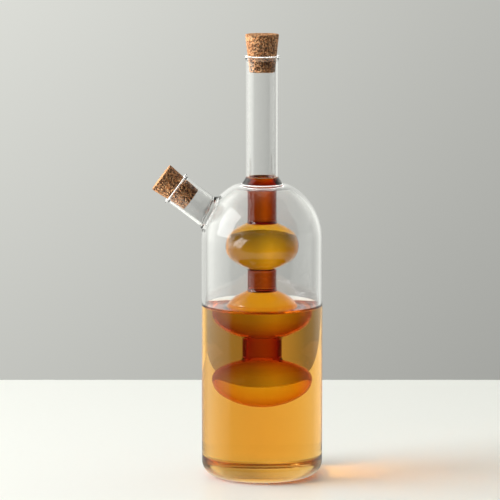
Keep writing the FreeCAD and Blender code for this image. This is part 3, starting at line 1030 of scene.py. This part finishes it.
def patch(tree, parts, bounds):
    """1 for directions inside the bounds and 0 outside them, with soft edges."""
    inside = 1.0
    for axis, (low, high) in bounds.items():
        along = parts.outputs[axis]
        for edge, out, back in ((low, 0.0, 1.0), (high, 1.0, 0.0)):
            step = spread(tree, along, edge - PATCH_BLUR, edge + PATCH_BLUR, out, back, "SMOOTHSTEP")
            inside = calculated(tree, "MULTIPLY", step, inside)
    return inside


def light_room(stage):
    """A grey room that differs by how a ray came to it. Looked at, also through glass, it is a pale wall with
    a bright side on the left and a pale one on the right. Mirrored and scattered rays find the wall only at
    the back, the bright side and a pale corner, mirrored ones also a floor, and scattered ones a ceiling.
    Light that was mirrored inside the glass finds an even glow."""
    world = bpy.data.worlds.new("grey_room")
    world.use_nodes = True
    tree = world.node_tree
    tree.nodes.clear()
    output = place(tree, "ShaderNodeOutputWorld")
    where = place(tree, "ShaderNodeTexCoord").outputs["Generated"]
    parts = place(tree, "ShaderNodeSeparateXYZ", {"Vector": where})
    path = place(tree, "ShaderNodeLightPath")
    scattered = calculated(tree, "MINIMUM", path.outputs["Diffuse Depth"], 1.0)
    turns = calculated(tree, "ADD", path.outputs["Glossy Depth"], path.outputs["Diffuse Depth"])
    bounced = calculated(tree, "MINIMUM", turns, 1.0)
    mirrored = calculated(tree, "SUBTRACT", bounced, scattered)
    along_x, along_y, along_z = (parts.outputs[axis] for axis in "XYZ")
    across = spread(tree, along_x, *WALL_ACROSS, stage.room_left, stage.room_right, "SMOOTHSTEP")
    low = spread(tree, along_z, *WALL_LOW, stage.room_low, stage.room_middle)
    high = spread(tree, along_z, *WALL_HIGH, 1.0, stage.room_high)
    far = spread(tree, along_x, *FAR_LEFT, stage.far_left, 1.0)
    front = spread(tree, along_y, *FRONT_TO_BACK, stage.front_level, 1.0, "SMOOTHSTEP")
    above = spread(tree, along_z, *OVERHEAD, 1.0, stage.above_level)
    dim = calculated(tree, "MULTIPLY", front, above)
    level = between(tree, bounced, far, dim)
    for share in (across, low, high):
        level = calculated(tree, "MULTIPLY", level, share)
    softbox = between(tree, bounced, stage.softbox_seen, stage.softbox_mirrored)
    falling = spread(tree, along_z, *SOFTBOX_FALL, stage.softbox_scattered, stage.softbox_mirrored)
    panels = (
        (SOFTBOX_SIDE, between(tree, scattered, softbox, falling)),
        (PALE_SIDE, between(tree, bounced, stage.side_seen, 0.0)),
        (PALE_BACK, calculated(tree, "MULTIPLY", bounced, stage.side_mirrored)),
        (CEILING, calculated(tree, "MULTIPLY", scattered, stage.ceiling_level)),
        (FLOOR, calculated(tree, "MULTIPLY", mirrored, stage.floor_mirrored)),
    )
    for bounds, strength in panels:
        shine = calculated(tree, "MULTIPLY", patch(tree, parts, bounds), strength)
        level = calculated(tree, "ADD", level, shine)
    again = spread(tree, path.outputs["Glossy Depth"], 1.0, 2.0, 0.0, 1.0)
    trapped = calculated(tree, "SUBTRACT", again, scattered)
    trapped = calculated(tree, "MAXIMUM", trapped, 0.0)
    level = between(tree, trapped, level, stage.trapped_level)
    shader = place(
        tree, "ShaderNodeBackground", {"Color": opaque(stage.room_colour), "Strength": level})
    tree.links.new(shader.outputs["Background"], output.inputs["Surface"])
    bpy.context.scene.world = world


def light_lamp(stage):
    """A soft rectangular lamp on the left. The glass mirrors the room's bright side in its place."""
    name = "key_softbox"
    light = bpy.data.lights.new(name, "AREA")
    light.shape = "RECTANGLE"
    light.size, light.size_y = stage.key_width, stage.key_height
    light.energy = stage.key_power
    lamp = bpy.data.objects.new(name, light)
    lamp.location = stage.key_place
    facing = Vector(stage.key_target) - Vector(stage.key_place)
    lamp.rotation_euler = facing.to_track_quat("-Z", "Y").to_euler()
    lamp.visible_glossy = False
    bpy.context.scene.collection.objects.link(lamp)


def lay_table(stage):
    """A table top under the bottle. The glass mirrors the room's floor in its place."""
    width = stage.table_left + stage.table_right
    depth = stage.table_back + stage.table_front
    middle = Vector((
        stage.table_right - width / 2, stage.table_back - depth / 2,
        -stage.table_thickness / 2 - stage.table_gap))
    stretch = Matrix.Diagonal((width, depth, stage.table_thickness, 1.0))
    shape = bmesh.new()
    bmesh.ops.create_cube(shape, size=1.0, matrix=Matrix.Translation(middle) @ stretch)
    bmesh.ops.bevel(
        shape, geom=shape.edges[:], offset=stage.table_edge, segments=3, profile=0.5, affect="EDGES",
        material=-1)
    mesh = bpy.data.meshes.new("table")
    shape.to_mesh(mesh)
    shape.free()
    mesh.materials.append(table_material(stage))
    table = bpy.data.objects.new("table", mesh)
    table.visible_glossy = False
    bpy.context.scene.collection.objects.link(table)


def aim_camera(stage):
    """The camera that took the photograph."""
    name = "photo_camera"
    camera = bpy.data.cameras.new(name)
    camera.lens = stage.camera_lens
    camera.sensor_width = SENSOR_WIDTH
    camera.clip_end = VIEW_DEPTH
    view = bpy.data.objects.new(name, camera)
    view.location = (stage.camera_side, -stage.camera_distance, stage.camera_height)
    view.rotation_euler = (math.pi / 2 - stage.camera_pitch, 0.0, 0.0)
    bpy.context.scene.collection.objects.link(view)
    bpy.context.scene.camera = view


class CRUET_OT_set_stage(bpy.types.Operator):
    """Set the table, the room, the lamp and the camera"""

    bl_idname = "cruet.set_stage"
    bl_label = "Set the stage"

    def execute(self, context):
        stage = context.scene.cruet_stage
        lay_table(stage)
        light_room(stage)
        light_lamp(stage)
        aim_camera(stage)
        context.scene.view_settings.view_transform = "Standard"
        context.scene.cycles.max_bounces = MOST_BOUNCES
        context.scene.cycles.transmission_bounces = MOST_BOUNCES
        context.scene.cycles.glossy_bounces = MIRROR_BOUNCES
        context.scene.cycles.blur_glossy = 0.0
        return {"FINISHED"}


class CRUET_PT_workshop(bpy.types.Panel):
    """Lists the pieces and their sizes"""

    bl_idname = "CRUET_PT_workshop"
    bl_label = "Cruet"
    bl_space_type = "VIEW_3D"
    bl_region_type = "UI"
    bl_category = "Cruet"

    def draw(self, context):
        for operator in OPERATORS:
            self.layout.operator(operator.bl_idname)
        for pointer in SETTINGS:
            box = self.layout.box()
            group = getattr(context.scene, pointer)
            for name in group.__annotations__:
                box.prop(group, name)


OPERATORS = (
    CRUET_OT_blow_bottle,
    CRUET_OT_draw_neck,
    CRUET_OT_polish_rims,
    CRUET_OT_blow_vessel,
    CRUET_OT_pour_oil,
    CRUET_OT_pour_vinegar,
    CRUET_OT_cut_corks,
    CRUET_OT_set_stage,
)
SETTINGS = {
    "cruet_clear": ClearGlassSizes,
    "cruet_amber": AmberGlassSizes,
    "cruet_liquid": LiquidLook,
    "cruet_glass": GlassLook,
    "cruet_cork": CorkLook,
    "cruet_stage": StageLook,
}


def register():
    for pointer, group in SETTINGS.items():
        bpy.utils.register_class(group)
        setattr(bpy.types.Scene, pointer, PointerProperty(type=group))
    for operator in OPERATORS:
        bpy.utils.register_class(operator)
    bpy.utils.register_class(CRUET_PT_workshop)


def unregister():
    bpy.utils.unregister_class(CRUET_PT_workshop)
    for operator in reversed(OPERATORS):
        bpy.utils.unregister_class(operator)
    for pointer, group in SETTINGS.items():
        delattr(bpy.types.Scene, pointer)
        bpy.utils.unregister_class(group)


def main():
    register()
    bpy.ops.cruet.blow_bottle()
    bpy.ops.cruet.draw_neck()
    bpy.ops.cruet.polish_rims()
    bpy.ops.cruet.blow_vessel()
    bpy.ops.cruet.pour_oil()
    bpy.ops.cruet.pour_vinegar()
    bpy.ops.cruet.cut_corks()
    bpy.ops.cruet.set_stage()


if __name__ == "__main__":
    main()
